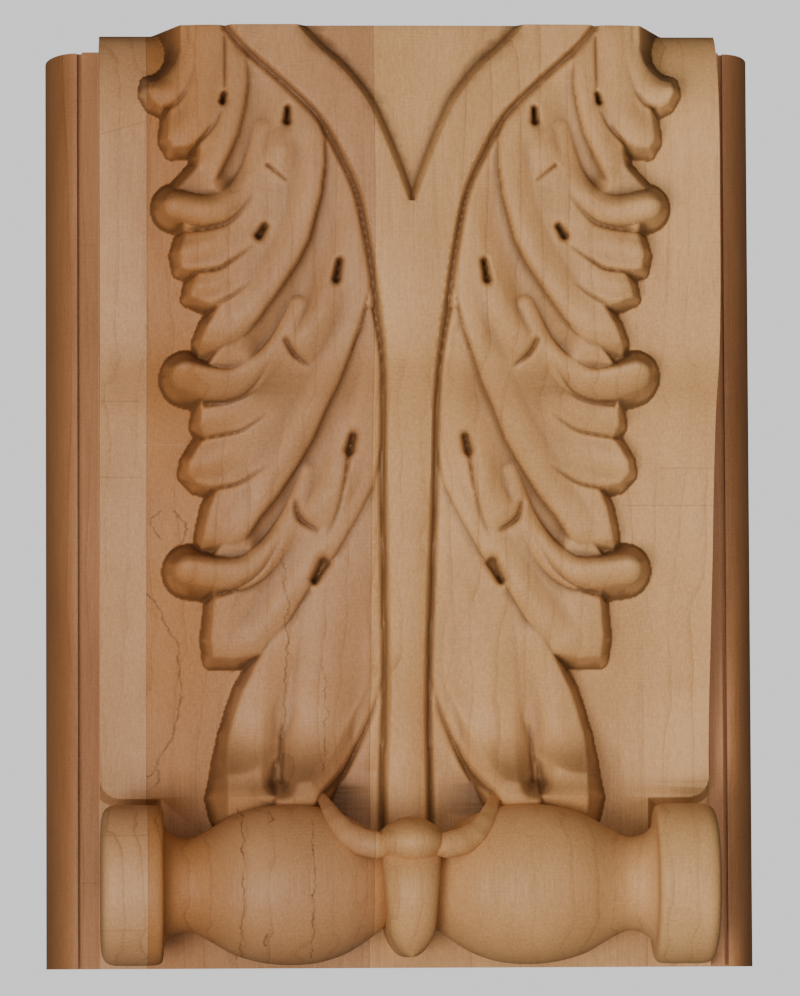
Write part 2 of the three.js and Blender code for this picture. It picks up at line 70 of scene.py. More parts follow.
# Bolster roll, measured forward of the fillet and up from the underside
ROLL_AXIS = 26 * MM
ROLL_HEIGHT = 20.4 * MM
ROLL_RADIUS = 19.6 * MM
NECK_RADIUS = 11.5 * MM
DISC_THICKNESS = 15 * MM
PLATE_PROJECTION = 8 * MM
PLATE_HEIGHT = 20 * MM
CONSOLE_LOW = 14 * MM

# Stem, arms and sunken V
STEM_RISE = 1.2 * MM
STEM_ROUND = 0.8 * MM
STEM_GROOVE = 1.5 * MM
STEM_GROOVE_WIDTH = 1.3 * MM
RECESS_DEPTH = 3 * MM
RECESS_SLOPE = 1.6

# Bud, tongue and collar over the roll
BUD_HEIGHT = 30.6 * MM
BUD_HALF_WIDTH = 9.2 * MM
BUD_HALF_HEIGHT = 6.2 * MM
BUD_PROJECTION = 49.6 * MM
BUD_THICKNESS = 13 * MM
BUD_POINT = 0.35
TONGUE_HALF_WIDTH = 7.4 * MM
TONGUE_TOP = 30 * MM
TONGUE_BOTTOM = 2.6 * MM
TONGUE_RISE = 2.6 * MM
TONGUE_TUCK = 4 * MM
TONGUE_TUCK_LENGTH = 12 * MM
TONGUE_ROUND = 5 * MM
TONGUE_END_SHARE = 1.1
TONGUE_TIP = 0.03 * MM
TONGUE_TAPER = 0.7

# Cutting
WALL_SLOPE = 3.2
ARM_WALL_SLOPE = 1.7
CHIN_SLOPE = 0.85
FLARE_CURVE = 2.2
FLARE_LONGEST = 1.2
CREASE_BLEND = 0.5 * MM
CURL_BLEND = 1.6 * MM
EDGE_ROUND = 1.1 * MM
LEAF_REACH = 14 * MM
EYE_DEPTH = 4.2 * MM
EYE_DISH = 0.9 * MM
EYE_CORE = (0.3, 1.1)
ROOTED = 1.5 * MM

# How fine the meshes are
FINE_STEP = 0.4 * MM
ROLL_STEP = 0.55 * MM
COLLAR_GRID = (60, 28)
TONGUE_GRID = (40, 60)
TONGUE_CROWDING = 1.7
BUD_GRID = (72, 48)
OVOLO_POINTS = 25
MOST_TRIANGLES = 190000
SMOOTH_ANGLE = math.radians(50)

# Wood: where each tone starts in millimetres across, how far it blends in, and its colour. The two
# sharp ones are glue lines.
BOARDS = [
    (-90, 0.1, (0.36, 0.152, 0.056, 1)),
    (-75.6, 0.3, (0.52, 0.265, 0.118, 1)),
    (-64, 0.1, (0.41, 0.172, 0.056, 1)),
    (-46, 14, (0.455, 0.22, 0.092, 1)),
    (-9, 0.1, (0.58, 0.3, 0.118, 1)),
    (56, 16, (0.65, 0.35, 0.142, 1)),
    (75.6, 0.3, (0.5, 0.22, 0.09, 1)),
]
GLUE_LINES = (-64, -9)
# The dark colour mixed in for glue lines, streaks and scratches, and for the painted shade in creases,
# hollows and up-facing ledges
DARK_WOOD_AND_SHADE = (0.07, 0.027, 0.01, 1)
GROWTH_SPACING = 6.4
RIPPLE_SPACING = 0.95
GLUE_WIDTH = 0.12
SCRATCH_WIDTH = 0.22
GLUE_STRENGTH = 0.3
STREAK_STRENGTH = 0.75
SCRATCH_STRENGTH = 0.3

# Painted shade: creases, wider hollows and ledges that face up are darkened in the colour, and the creases
# and hollows are partly darkened as grime too. For each: how far around it is judged, the depth that is
# darkest, or for a ledge the slope past its start, and how dark it is
PAINTED_SHADE_AND_GRIME = {"crease_shade_and_grime": (0.7 * MM, 0.28 * MM, 0.5), "hollow_shade_and_grime": (2.2 * MM, 1.4 * MM, 0.36),
           "ledge_shade": (1.2 * MM, 0.7, 0.5)}
LEDGE_START = 0.2

# How near a point is to the carved surface, or the surface to the panel, to be shaded as it
SURFACE_REACH = 0.25 * MM
SHADING_LIKENESS = 0.85
ON_PANEL = 0.12 * MM

# Camera, light and floor
CAMERA_DISTANCE = 1753 * MM
CAMERA_ACROSS = -82 * MM
CAMERA_AIM = (-0.6 * MM, 2.6 * MM)
CAMERA_ROLL = math.radians(-0.26)
LENS = 255
KEY_PLACE = (-0.8, -2.1, -0.55)
KEY_SIZE = 0.8
KEY_POWER = 24
WARM_WHITE = (1, 0.98, 0.93)
FRONT_FOCUS = 5.0
FRONT_STRENGTH = 2.15
ROUND_STRENGTH = 0.06
LEAN_UP = -0.8
LEAN_RIGHT = -0.4
LEAST_LEAN = 0.05
FLOOR_SIZE = 0.9
FLOOR_DROP = 0.2

# Mineral streaks: across, bow, low, high and width. Level lines: left, right, height and slope.
STREAK_LABELS = ("Middle", "Bow", "Low", "High", "Width")
STREAKS = [
    (-63.5, 8, -67, -22, 0.5), (-58, 3.5, -12, -2, 0.5), (-60.5, -2.5, -9, -2, 0.4),
    (-31, 1.5, -58, -12, 0.35),
    (-41.5, 0.6, -112, -75, 0.3), (-24.5, 0.8, -112, -78, 0.28), (-34.5, 1.2, -79, -76, 0.5),
    (-35, -1, -109, -106, 0.5), (-63, 2, -70, -64, 0.45), (-21, 1, -66, -40, 0.22),
]
SCRATCH_LABELS = ("Left", "Right", "Height", "Slope")
SCRATCHES = [
    (-76, -65, 24, 0), (-76, -65, 6, 0), (-75, -64, 88, 0.3), (62, 76, 8, 0), (53, 76, -1, 0),
    (-76, -64.5, -82, 0), (-76, -64.5, -105, 0), (-80, -76, 66, 0), (-80, -76, -93, 0),
]

# Height profiles: hundredths of the height, then millimetres
PANEL_PROFILE = [
    (18.4, 6.3), (21.6, 6.5), (24.8, 7.3), (29.1, 9.5), (34.5, 13.8), (39.9, 18.3), (44.1, 21.8),
    (50.5, 25.3), (54.7, 28.6), (59.9, 34.3), (64.9, 43.4), (71.1, 47.8), (77, 48.6),
]
LEAF_PROFILE = [
    (16.9, 14.6), (21.4, 15), (24.8, 16.5), (29.1, 19.5), (34.5, 24), (39.9, 28), (44.1, 31),
    (50.5, 34.8), (54.7, 38.2), (59.9, 44), (64.9, 52.4), (71, 56.6), (78, 57.8), (88, 57.2), (100, 53),
]
# Half widths: hundredths of the height, then hundredths of the panel's half width
ARM_PROFILE = [
    (0, 6.2), (19.1, 6.2), (29, 5.5), (39.6, 6), (50.2, 6.8), (62.6, 7.3), (70.7, 10.1), (77.1, 13),
    (82.4, 16.6), (86.8, 22.4), (90.3, 28.7), (93.6, 38.3), (96.5, 47.8), (97.9, 52.6), (100, 58),
]
RECESS_PROFILE = [
    (81, 0), (85, 4.3), (88.7, 8.8), (91.6, 12.8), (93.5, 16.6), (95.8, 22.4), (97.7, 28.8), (100, 35.3),
]

# The leaf's parts on one half. Outlines and paths are places from the middle and up from the
# underside, in millimetres, and so are the rises over the leaf's own profile. Soft forms are a path,
# a half width and the rise along it. A flare is where it starts and ends and how far forward it
# comes, and a face is the outline that its lip follows.
PLATES = {
    "top group": dict(
        outline=[
            (40, 232), (39.5, 220), (39.5, 214), (40.5, 207.5), (42, 201.5), (44, 197), (47, 191),
            (50.5, 186), (54.5, 187), (52.5, 192.5), (51.5, 197), (51.5, 199.5), (49, 203.5), (50, 232)],
        rise=-0.9,
        soft=[([(42.5, 228), (42.5, 210), (48, 194)], 4.5, [0.4, 1.2, 1.2]),
              ([(49, 194), (53, 187)], 4, [0, -2])]),
    "top lobe": dict(
        outline=[
            (45, 232), (46, 212), (47, 205.5), (51, 200), (54.5, 198), (58, 197.8), (59.5, 200.5),
            (59, 205), (58.4, 208), (57, 211), (55, 215), (54, 222.5), (54, 232)],
        rise=-1.1,
        soft=[([(49, 226), (51, 208), (55, 202)], 5, [0.8, 1.2, 1])]),
    "top curl": dict(
        outline=[
            (50, 232), (51.5, 220), (54, 213), (56.2, 210), (58, 208.4), (60.5, 207.8), (62.8, 209),
            (64.2, 212), (63.7, 214.6), (61, 215.3), (59, 217), (57.2, 219.5), (56.3, 222.5), (56.3, 232)],
        rise=-1.5,
        soft=[([(52, 222), (57, 213), (63, 212)], 4.5, [0.6, 1, 1.8])]),
    "second group": dict(
        outline=[
            (36.5, 224), (27, 212), (22.5, 206.5), (21, 200.5), (21, 194.5), (22, 187), (25, 176),
            (27.5, 171), (32, 164), (37, 157), (41.5, 151.5), (47, 144), (52.5, 145), (51.5, 151),
            (49.8, 155.5), (47, 159.7), (50, 160.3), (54, 162), (53.4, 165), (52, 167.7), (56, 168.7),
            (56.7, 172.5), (55, 178), (57, 188.5), (48.5, 198), (48, 226)],
        rise=-1,
        soft=[([(30, 212), (23.8, 200.5), (24, 189.5), (27.5, 177.5), (33.5, 166.5), (43, 154)], 5.5,
               [0.2, 0.9, 1.4, 1.6, 1.6, 1]),
              ([(31, 203), (31.5, 198), (32.3, 193)], 4.5, [0, 1.2, 0.5]),
              ([(37.5, 215), (37, 207.5), (39.5, 199), (43.5, 191.5)], 5.5, [-0.6, -1.6, -2.2, -2.6]),
              ([(43, 177), (49, 174.5), (54, 173)], 3.6, [0, 0.9, 1]),
              ([(42, 169), (47, 165.5), (51, 164.5)], 3, [0, 0.7, 0.9]),
              ([(43, 161), (48, 155)], 4, [0, 0.6]),
              ([(38, 152), (45, 147), (52, 147)], 5, [-1, -3, -4])]),
    "third group": dict(
        outline=[
            (22, 208), (15.5, 198), (12, 188.5), (9.8, 176), (7.6, 166), (8, 159.5), (11, 159.5),
            (12.4, 154.5),
            (14.4, 150), (17.5, 142), (20.5, 136), (23.5, 129), (27, 123), (32, 115.5), (36.5, 110),
            (41, 102.5), (48.5, 97.5), (51, 102), (50.2, 107.5), (49, 112.5), (47, 116.8), (52, 118),
            (54.5, 120.7), (54, 123.7), (52, 127), (50, 129.2), (51.6, 132), (51, 138), (52, 143),
            (46.5, 150), (39.5, 157), (32, 169), (28, 186), (30, 206)],
        rise=-1.5,
        soft=[([(17, 192), (12.5, 174), (12.5, 161.5), (15.5, 151), (21.5, 139.5), (28.5, 127),
                (41, 107)], 5.5,
               [0, 0.5, 0.9, 1.6, 1.9, 2, 1.2]),
              ([(19.5, 165), (21.5, 158), (25.5, 151.5)], 5, [0.4, 1.8, 1.2]),
              ([(19.5, 200), (19.5, 188.5), (21.5, 177.5), (25, 169), (30, 159.5), (36, 151)], 6,
               [-0.2, -1, -1.6, -2.2, -2.4, -2.6]),
              ([(38, 139), (44, 134.5), (50, 133)], 3.6, [0, 0.6, 0.8]),
              ([(40, 127), (47, 123.5), (52.5, 122.5)], 3.8, [0, 0.8, 1]),
              ([(40, 116), (48, 107)], 5, [0, 0.8]),
              ([(35, 105), (42, 100), (50, 100)], 5, [-1, -3, -4])]),
    "fourth group": dict(
        outline=[
            (12, 168), (8, 154.5), (6, 142), (6, 129), (8.5, 118), (12.5, 110), (17.5, 101.5), (21.5, 97),
            (24.5, 92.5), (29, 85), (32.5, 80.5), (35.5, 77), (42.5, 75.6), (48, 75.8), (48.7, 81),
            (48.2, 85.5), (47.7, 91.5), (48.5, 100), (38, 115), (28, 129), (20.5, 140.5), (15, 156)],
        rise=-1.5,
        soft=[([(9.6, 154), (9.4, 134), (11, 119.5), (18, 106.5), (28, 92.5), (38, 80)], 5.5,
               [0, 0.4, 0.6, 1, 2, 1.6]),
              ([(15.5, 124), (18, 117), (21.8, 111.5)], 5, [0.4, 2, 1.4]),
              ([(9.5, 158), (13, 147), (17.5, 136), (23, 125.5), (29.5, 115), (35.5, 106)], 5.5,
               [-0.4, -0.8, -1.4, -1.8, -2.2, -2.4]),
              ([(42, 92), (43.5, 79)], 5, [0.2, 0.8])]),
    "petal": dict(
        outline=[
            (3.5, 140), (3.5, 90), (3.5, 22), (15, 22), (20.6, 36), (20.6, 40.5), (30.5, 39), (44, 40),
            (44.8, 46.5), (45, 51), (44.4, 57.5), (42.8, 63), (40.8, 68.5), (38, 73.5), (34, 81),
            (27.5, 90.5), (21, 100), (13.5, 115), (8, 129)],
        rise=-1.9,
        soft=[([(8, 116), (13, 95), (22, 80)], 9, [0, 0.9, 1])]),
    "inner petal": dict(
        outline=[
            (13.5, 104), (9, 84), (8.3, 69), (10, 60.5), (12.5, 54), (15.5, 49.5), (19, 45.5), (22, 42),
            (24, 37),
            (32.4, 37), (32.4, 46), (32.4, 50), (32.4, 54.5), (32, 58), (31.5, 75), (27, 92)],
        face=[
            (13.5, 104), (9, 84), (9.4, 70), (12.4, 64), (14.8, 59.5), (17, 55), (19.4, 51), (21.8, 47.8),
            (24, 45.6), (27.5, 45.2), (30, 46.5), (31.6, 50), (32.6, 54.5), (32.6, 58), (32, 75), (27, 92)],
        rise=-1.7, flare=(66, 45, 12.5),
        soft=[([(19, 92), (20, 70), (25, 48)], 9, [0.8, 1.8, 1.2]),
              ([(30.6, 78), (30.8, 66), (31.2, 56), (31.4, 46)], 5, [0, -0.8, -2.2, -4])]),
    "outer petal": dict(
        outline=[
            (25, 90), (28, 66), (29.6, 57.5), (29.8, 54.8), (30, 50), (30, 37), (44.3, 37), (44.6, 46),
            (44.8, 51), (44.2, 57.5), (42.6, 63), (40.6, 68.5), (38, 73.5), (34, 81), (29.5, 88)],
        face=[
            (25, 90), (28, 66), (29.4, 57.5), (29.8, 53.8), (33, 51.5), (37, 49), (40.5, 47.7), (44.2, 47.5),
            (46, 51), (46, 57.5), (44, 64), (42, 69.5), (39, 74.5), (35, 82), (29.5, 90)],
        rise=-1.5, flare=(66, 46, 12),
        soft=[([(32, 80), (36, 66), (38, 52)], 7, [0.9, 1.4, 0.8]),
              ([(30.6, 78), (30.8, 66), (31.2, 56), (31.4, 46)], 5, [0, -0.8, -2.2, -4])]),
}

# Rolled tips of the lobes: round sections along a path
CURLS = [
    dict(path=[(36, 203), (38.5, 192.5), (43.5, 185.3), (49.5, 182.9), (57, 184)],
         half=[2.8, 3.1, 3.4, 3.6, 3.6], rise=[-2.2, -1.6, 0, 1.6, 2.4], round=3.2),
    dict(path=[(27.5, 160), (32, 150.5), (38.5, 143.8), (45.5, 141.2), (54.6, 143.4)],
         half=[2.6, 3, 3.5, 3.8, 3.8], rise=[-2.4, -1.6, 0.2, 2, 2.8], round=3.2),
    dict(path=[(25, 121), (28.5, 110), (34.5, 101), (42, 96.4), (53.6, 97.4)],
         half=[2.4, 3, 3.6, 3.9, 3.9], rise=[-2.4, -1.6, 0.2, 2, 2.8], round=3.2),
]

# Cut lines: a path, the half width and the depths along it
CUTS = [
    ([(38, 187), (43.5, 180.6), (48, 178.8), (56, 177.6)], 1.3, [0, 0.8, 1.2, 1.6]),
    ([(37, 175.5), (41, 172.5), (44, 170.5), (47, 168.8), (53, 168)], 0.9, [0, 0.6, 1, 1.2, 1.4]),
    ([(39, 166), (42.5, 163), (47.5, 160.2)], 0.9, [0, 0.5, 1]),
    ([(34, 147), (38, 141.5), (42, 138.5), (50, 137)], 1.3, [0, 0.8, 1.2, 1.6]),
    ([(34.5, 135), (38, 132.5), (42, 130.5), (50.5, 129)], 0.9, [0, 0.5, 0.9, 1.2]),
    ([(34, 123), (38.5, 120), (42.5, 118), (48, 117)], 0.9, [0, 0.5, 1, 1.3]),
    ([(31, 106), (35, 98.5), (40, 94), (49, 90.6)], 1.3, [0, 0.8, 1.2, 1.6]),
    ([(46.2, 206.8), (48, 203.3), (51.5, 199.6)], 0.9, [0.3, 0.7, 1.4]),
    ([(54.8, 211.8), (57, 209), (59.4, 208)], 1, [0.2, 0.9, 1.6]),
    ([(35, 194), (30.5, 190.4)], 0.8, [1.1, 0.5]),
    ([(30.5, 151.8), (28.5, 148.6), (25.3, 146)], 1.4, [1.4, 2, 0.5]),
    ([(27.8, 113.5), (26.5, 109.8), (22.8, 107.2)], 1.5, [1.2, 2.2, 0.5]),
    ([(10, 165), (12, 157), (14.2, 149.8)], 0.7, [0.3, 0.8, 0.6]),
    ([(45, 226), (45.2, 212)], 0.8, [0.8, 0.5]),
    ([(14.8, 125), (15.8, 118), (17.6, 111), (20, 105.5)], 1.1, [1.4, 0.9, 0.6, 0.1]),
    ([(6, 71), (8, 64), (10.8, 57.2), (13.6, 51.5), (16.6, 47), (20.6, 43)], 1.5,
     [0.2, 0.9, 1.4, 1.8, 2, 2]),
    ([(30.4, 60), (30.9, 54), (31, 46)], 1.2, [0.1, 0.9, 1.2]),
]

# Drilled eyes: both ends of each, then the half widths there
EYES = [
    ([(45.3, 211.4), (45.7, 209.6)], [1.1, 1.3]),
    ([(29.9, 208), (30.1, 204.8)], [1.2, 1.7]),
    ([(35.6, 179.1), (37, 176.9)], [1.5, 1.9]),
    ([(17.5, 170.8), (18.3, 166.4)], [1.5, 1.9]),
    ([(13.7, 129.5), (14.5, 126.2)], [1.9, 2.4]),
    ([(20.7, 99.2), (22.9, 95)], [2.9, 2]),
]

# The roll's turned outline: distance from the middle and radius, in millimetres
ROLL_OUTLINE = [
    (0, 8), (4.5, 9), (8, 12), (15, 16.6), (22, 19), (29, 19.6), (36, 19), (43, 17), (49, 13.6),
    (53.5, 11.5), (57.4, 12.2), (59.8, 14.6), (60.2, 18), (61.2, 19.3), (64.5, 19.6), (71.4, 19.6),
    (73.8, 19), (75, 17.4), (75.5, 14), (75.5, 7), (75.5, 0.5),
]
# The collar rises from the bud to the petal: across, up, forward of the fillet and half width
COLLAR = [
    (4.6, 30.2, 41, 2.4), (8.4, 29.7, 42.3, 3.3), (12.4, 30.7, 41.3, 3.4), (16, 33, 39.5, 2.9),
    (18.4, 36.1, 36.8, 2.3), (19.9, 38.9, 32.5, 1.8), (20.8, 40.8, 27.5, 1.4), (21.8, 42.6, 22, 1.2),
]


def read_profile(profile, up):
    """A height profile read with smooth steps, at heights above the underside."""
    rows = np.array(profile, float)
    at, value = rows[:, 0], rows[:, 1]
    slope = np.empty(len(at))
    slope[1:-1] = (value[2:] - value[:-2]) / (at[2:] - at[:-2])
    slope[0] = (value[1] - value[0]) / (at[1] - at[0])
    slope[-1] = (value[-1] - value[-2]) / (at[-1] - at[-2])
    share = np.clip(np.asarray(up, float) / HEIGHT * 100, at[0], at[-1])
    i = np.clip(np.searchsorted(at, share, side="right") - 1, 0, len(at) - 2)
    span = at[i + 1] - at[i]
    t = (share - at[i]) / span
    return (
        (2 * t**3 - 3 * t**2 + 1) * value[i] + (t**3 - 2 * t**2 + t) * slope[i] * span
        + (3 * t**2 - 2 * t**3) * value[i + 1] + (t**3 - t**2) * slope[i + 1] * span
    )


def trace_path(path, per_leg=6):
    """A smooth line through places, as short straight pieces with a share of the path at each end."""
    points = np.array(path, float) * MM
    legs = len(points) - 1
    shares = np.linspace(0, 1, per_leg * legs + 1)
    at = np.minimum((shares * legs).astype(int), legs - 1)
    t = (shares * legs - at)[:, None]
    p0, p1 = points[np.maximum(at - 1, 0)], points[at]
    p2, p3 = points[at + 1], points[np.minimum(at + 2, legs)]
    v0, v1 = (p2 - p0) / 2, (p3 - p1) / 2
    line = (2 * p1 - 2 * p2 + v0 + v1) * t**3 + (-3 * p1 + 3 * p2 - 2 * v0 - v1) * t**2 + v0 * t + p1
    return line, shares


def near_line(line, reach, x, up):
    """The places within reach of a line's extent."""
    low, high = line.min(axis=0) - reach, line.max(axis=0) + reach
    return (x > low[0]) & (x < high[0]) & (up > low[1]) & (up < high[1])


def line_distance(line, shares, x, up):
    """Distance to a line and the share of it there."""
    distance = np.full(x.shape, np.inf)
    share = np.zeros(x.shape)
    for a, b, share_a, share_b in zip(line[:-1], line[1:], shares[:-1], shares[1:]):
        step = b - a
        t = np.clip(((x - a[0]) * step[0] + (up - a[1]) * step[1]) / max(step @ step, 1e-12), 0, 1)
        here = np.hypot(x - a[0] - t * step[0], up - a[1] - t * step[1])
        closer = here < distance
        distance = np.where(closer, here, distance)
        share = np.where(closer, share_a + t * (share_b - share_a), share)
    return distance, share


def outline_distance(outline, x, up):
    """Distance to a closed outline, negative outside it."""
    points = np.array(outline, float) * MM
    closed = np.vstack([points, points[:1]])
    distance, _ = line_distance(closed, np.zeros(len(closed)), x, up)
    inside = np.zeros(x.shape, bool)
    for a, b in zip(closed[:-1], closed[1:]):
        crosses = (a[1] > up) != (b[1] > up)
        with np.errstate(divide="ignore", invalid="ignore"):
            inside ^= crosses & (x < (b[0] - a[0]) * (up - a[1]) / (b[1] - a[1]) + a[0])
    return np.where(inside, distance, -distance)


def along(values, share):
    return np.interp(share, np.linspace(0, 1, len(values)), values)


def soft_max(a, b, blend):
    near = np.maximum(blend - np.abs(a - b), 0) / blend
    return np.maximum(a, b) + near * near * blend / 4


def panel_depth(x, up):
    rise = np.clip(up - (HEIGHT - ROLL_BACK_HEIGHT), 0, ROLL_BACK_HEIGHT) / ROLL_BACK_HEIGHT
    back = (CROWN_PROJECTION - TOP_PROJECTION) * (1 - np.sqrt(1 - rise**2))
    corner_x, corner_up = HALF_PANEL - FOOT_CORNER, PANEL_FOOT + FOOT_CORNER
    outside = np.hypot(np.maximum(x - corner_x, 0), np.maximum(corner_up - up, 0)) - FOOT_CORNER
    outside = np.minimum(outside, np.maximum(x - (HALF_PANEL - DISC_THICKNESS), 0))
    return read_profile(PANEL_PROFILE, up) * MM - back - np.maximum(outside, 0) * WALL_SLOPE


def leaf_depth(up):
    return read_profile(LEAF_PROFILE, up) * MM


def soft_form(form, x, up):
    path, half, amounts = form
    line, shares = trace_path(path)
    rise = np.zeros(x.shape)
    near = near_line(line, half * MM, x, up)
    distance, share = line_distance(line, shares, x[near], up[near])
    bump = np.maximum(1 - (distance / (half * MM)) ** 2, 0) ** 2
    rise[near] = bump * along(amounts, share) * MM
    return rise


def plate_depth(plate, leaf, x, up):
    """One part of the leaf: its own surface inside the outline, a rounded edge and a wall outside."""
    inside = outline_distance(plate["outline"], x, up)
    depth = leaf + plate["rise"] * MM
    for form in plate["soft"]:
        depth = depth + soft_form(form, x, up)
    if "flare" in plate:
        top, bottom, amount = plate["flare"]
        share = np.clip((top * MM - up) / ((top - bottom) * MM), 0, FLARE_LONGEST)
        depth = depth + amount * MM * share**FLARE_CURVE
    if "face" in plate:
        depth = depth - np.maximum(-outline_distance(plate["face"], x, up), 0) * CHIN_SLOPE
    edge = np.clip(1 - inside / EDGE_ROUND, 0, 1)
    depth = depth - EDGE_ROUND * (1 - np.sqrt(1 - edge**2))
    return depth - np.maximum(-inside, 0) * WALL_SLOPE


def curl_depth(curl, leaf, x, up):
    distance, share = line_distance(*trace_path(curl["path"]), x, up)
    half = along(curl["half"], share) * MM
    across = np.minimum(distance / half, 1)
    rounded = curl["round"] * (1 - np.sqrt(1 - across**2)) * MM
    return leaf + along(curl["rise"], share) * MM - rounded - np.maximum(distance - half, 0) * WALL_SLOPE


def cut_lines(depth, x, up):
    for path, half, amounts in CUTS:
        line, shares = trace_path(path)
        near = near_line(line, half * MM, x, up)
        distance, share = line_distance(line, shares, x[near], up[near])
        depth[near] -= along(amounts, share) * MM * np.maximum(1 - distance / (half * MM), 0) ** 1.5
    return depth


def band_edge(profile, x, up):
    """Distance outside the edge of a band that a half-width profile describes."""
    edge = read_profile(profile, up) / 100 * HALF_PANEL
    ahead = read_profile(profile, up + 1 * MM) / 100 * HALF_PANEL
    return (x - edge) / np.hypot(1, (ahead - edge) / (1 * MM))


def console_depth(x, up):
    """Depth of the carved console forward of the fillet, without the roll."""
    leaf = leaf_depth(up)
    depth = panel_depth(x, up)
    for plate in PLATES.values():
        outline = np.array(plate["outline"]) * MM
        near = near_line(outline, LEAF_REACH, x, up)
        shaped = plate_depth(plate, leaf[near], x[near], up[near])
        depth[near] = soft_max(depth[near], shaped, CREASE_BLEND)
    for curl in CURLS:
        near = near_line(trace_path(curl["path"])[0], LEAF_REACH, x, up)
        shaped = curl_depth(curl, leaf[near], x[near], up[near])
        depth[near] = soft_max(depth[near], shaped, CURL_BLEND)
    depth = cut_lines(depth, x, up)
    depth = carve_stem(depth, leaf, x, up)
    return drill_eyes(depth, x, up)


def carve_stem(depth, leaf, x, up):
    outside = band_edge(ARM_PROFILE, x, up)
    inner = -band_edge(RECESS_PROFILE, x, up)
    edge = np.maximum(read_profile(ARM_PROFILE, up) / 100 * HALF_PANEL, 1 * MM)
    crown = STEM_ROUND * np.minimum(x / edge, 1) ** 2
    sunk = np.clip((inner + RECESS_DEPTH / RECESS_SLOPE / 2) * RECESS_SLOPE, 0, RECESS_DEPTH)
    sunk = np.where(up > RECESS_PROFILE[0][0] / 100 * HEIGHT, sunk, 0)
    stem = leaf + STEM_RISE - crown - np.maximum(outside, 0) * ARM_WALL_SLOPE
    groove = np.maximum(1 - np.abs(outside - STEM_GROOVE_WIDTH) / STEM_GROOVE_WIDTH, 0) * STEM_GROOVE
    carved = np.where(outside < 0, stem, soft_max(depth, stem, CREASE_BLEND))
    return carved - sunk - groove


def drill_eyes(depth, x, up):
    for path, halves in EYES:
        distance, share = line_distance(*trace_path(path), x, up)
        inside = np.clip(1 - distance / (along(halves, share) * MM), 0, 1)
        core = np.clip((inside - EYE_CORE[0]) / (EYE_CORE[1] - EYE_CORE[0]), 0, 1)
        depth = depth - EYE_DISH * inside * (2 - inside) - EYE_DEPTH * core * core * (3 - 2 * core)
    return depth


def select_only(obj):
    bpy.ops.object.select_all(action="DESELECT")
    obj.select_set(True)
    bpy.context.view_layer.objects.active = obj


def coordinates(obj):
    flat = np.empty(len(obj.data.vertices) * 3)
    obj.data.vertices.foreach_get("co", flat)
    return flat.reshape(-1, 3)


def set_coordinates(obj, points):
    obj.data.vertices.foreach_set("co", np.asarray(points, np.float32).ravel())
    obj.data.update()


def add_grid(name, columns, rows):
    """A flat grid one unit wide each way, whose corners say where each point goes later."""
    bpy.ops.object.select_all(action="DESELECT")
    bpy.ops.mesh.primitive_grid_add(x_subdivisions=columns, y_subdivisions=rows, size=1)
    obj = bpy.context.object
    obj.name = name
    obj.data.name = name
    return obj


def close_to_plane(obj, axis, value):
    """Extrudes the open rim of a sheet to a flat plane and fills it."""
    select_only(obj)
    bpy.ops.object.mode_set(mode="EDIT")
    bpy.ops.mesh.select_mode(type="EDGE")
    bpy.ops.mesh.select_all(action="DESELECT")
    bpy.ops.mesh.select_non_manifold()
    bpy.ops.mesh.extrude_region_move()
    bpy.ops.object.mode_set(mode="OBJECT")
    points = coordinates(obj)
    picked = np.empty(len(points), bool)
    obj.data.vertices.foreach_get("select", picked)
    points[picked, axis] = value
    set_coordinates(obj, points)
    bpy.ops.object.mode_set(mode="EDIT")
    bpy.ops.mesh.edge_face_add()
    bpy.ops.mesh.select_all(action="SELECT")
    bpy.ops.mesh.normals_make_consistent(inside=False)
    bpy.ops.object.mode_set(mode="OBJECT")


def make_console():
    """The console: a fine grid carved by moving its points, then closed inside the block."""
    columns = round(PANEL_WIDTH / FINE_STEP / 2) * 2
    rows = round((HEIGHT - CONSOLE_LOW) / FINE_STEP)
    obj = add_grid("console", columns, rows)
    flat = coordinates(obj)
    x = flat[:, 0] * PANEL_WIDTH
    up = CONSOLE_LOW + (flat[:, 1] + 0.5) * (HEIGHT - CONSOLE_LOW)
    depth = np.maximum(console_depth(np.abs(x), up), -BLOCK_DEPTH / 4)
    set_coordinates(obj, np.stack([x, -BLOCK_DEPTH - depth, up], axis=1))
    close_to_plane(obj, 1, -BLOCK_DEPTH / 2)
    column = np.round((flat[:, 0] + 0.5) * columns).astype(int)
    row = np.round((flat[:, 1] + 0.5) * rows).astype(int)
    relief, plain = np.zeros((2, rows + 1, columns + 1))
    relief[row, column] = depth
    plain[row, column] = panel_depth(np.abs(x), up)
    return obj, relief, plain


def blur(relief, reach):
    """The relief smoothed over a distance."""
    steps = max(round(reach / FINE_STEP), 1)
    for axis in (0, 1, 0, 1):
        pad = [(0, 0), (0, 0)]
        pad[axis] = (steps + 1, steps)
        total = np.cumsum(np.pad(relief, pad, mode="edge"), axis=axis)
        ahead = np.take(total, range(2 * steps + 1, total.shape[axis]), axis=axis)
        behind = np.take(total, range(0, total.shape[axis] - 2 * steps - 1), axis=axis)
        relief = (ahead - behind) / (2 * steps + 1)
    return relief


def read_relief(relief, x, up):
    """A value of the console's grid at places on it."""
    rows, columns = relief.shape
    across = np.clip((x / PANEL_WIDTH + 0.5) * (columns - 1), 0, columns - 1.001)
    rise = np.clip((up - CONSOLE_LOW) / (HEIGHT - CONSOLE_LOW) * (rows - 1), 0, rows - 1.001)
    i, j = rise.astype(int), across.astype(int)
    s, t = rise - i, across - j
    low = relief[i, j] * (1 - t) + relief[i, j + 1] * t
    high = relief[i + 1, j] * (1 - t) + relief[i + 1, j + 1] * t
    return low * (1 - s) + high * s


